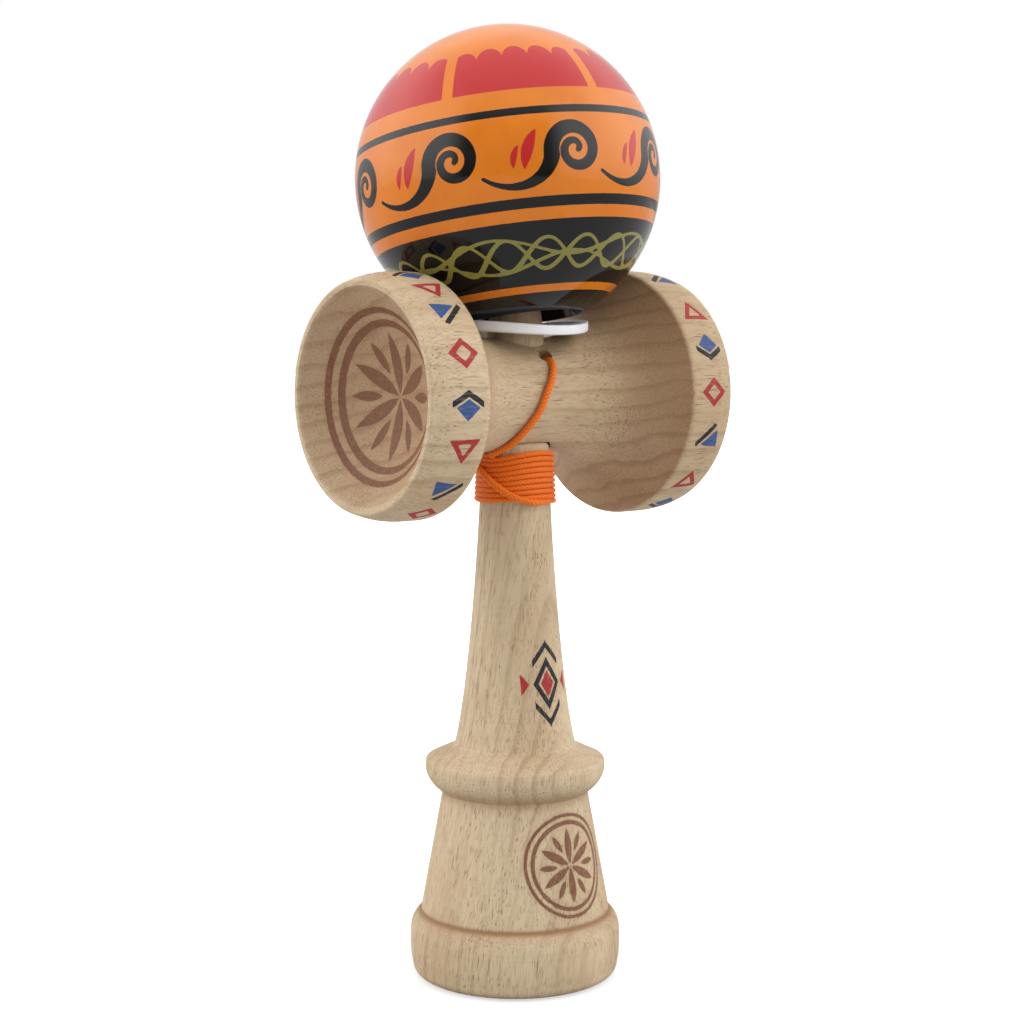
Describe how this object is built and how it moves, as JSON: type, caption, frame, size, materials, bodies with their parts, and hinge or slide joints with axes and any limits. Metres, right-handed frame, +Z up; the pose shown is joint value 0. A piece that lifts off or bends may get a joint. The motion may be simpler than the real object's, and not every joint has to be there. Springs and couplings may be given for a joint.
{
  "type": "kendama",
  "caption": "Turned wooden kendama: handle with spike, pressed double cup, lacquered ball on the spike, spacer ring and a wound string.",
  "frame": {"origin": "centre of the ken's base ring, on the surface that it stands on", "axes": "+Z up the ken towards the spike, X along the double cup with the big cup at +X, -Y towards the side with the string hole"},
  "size_m": [0.0748, 0.0617, 0.1901],
  "materials": {
    "beech": "smooth unvarnished beech",
    "lacquer": "gloss lacquer over wood, orange with black and red bands",
    "white_plastic": "smooth white plastic",
    "cord": "fine braided polyester cord",
    "bead_wood": "plain turned bead"
  },
  "bodies": {
    "ken": {"ken": "beech", "sarado": "beech", "string_lead": "cord", "string_wrap": "cord", "string_riser": "cord", "ken_knot": "cord"},
    "spacer": {"spacer_ring": "white_plastic"},
    "bead": {"string_bead": "bead_wood", "bead_knot": "cord", "string_tail": "cord"},
    "tama": {"tama": "lacquer"}
  },
  "joints": [
    {"name": "tama_lift", "type": "slide", "parent": "ken", "child": "bead", "axis": [0, 0, 1], "range_m": [0, 0.045], "deforming": ["string_riser"]},
    {"name": "ring_lift", "type": "slide", "parent": "ken", "child": "spacer", "axis": [0, 0, 1], "range_m": [0, 0.0225]},
    {"name": "tama_spin", "type": "hinge", "parent": "bead", "child": "tama", "pos_m": [-0.0012, 0.00085, 0.15922], "axis": [-0.0328, 0.1461, 0.9887], "continuous": true}
  ],
  "couplings": [
    {"joint": "ring_lift", "follows": "tama_lift", "ratio": 0.5}
  ]
}
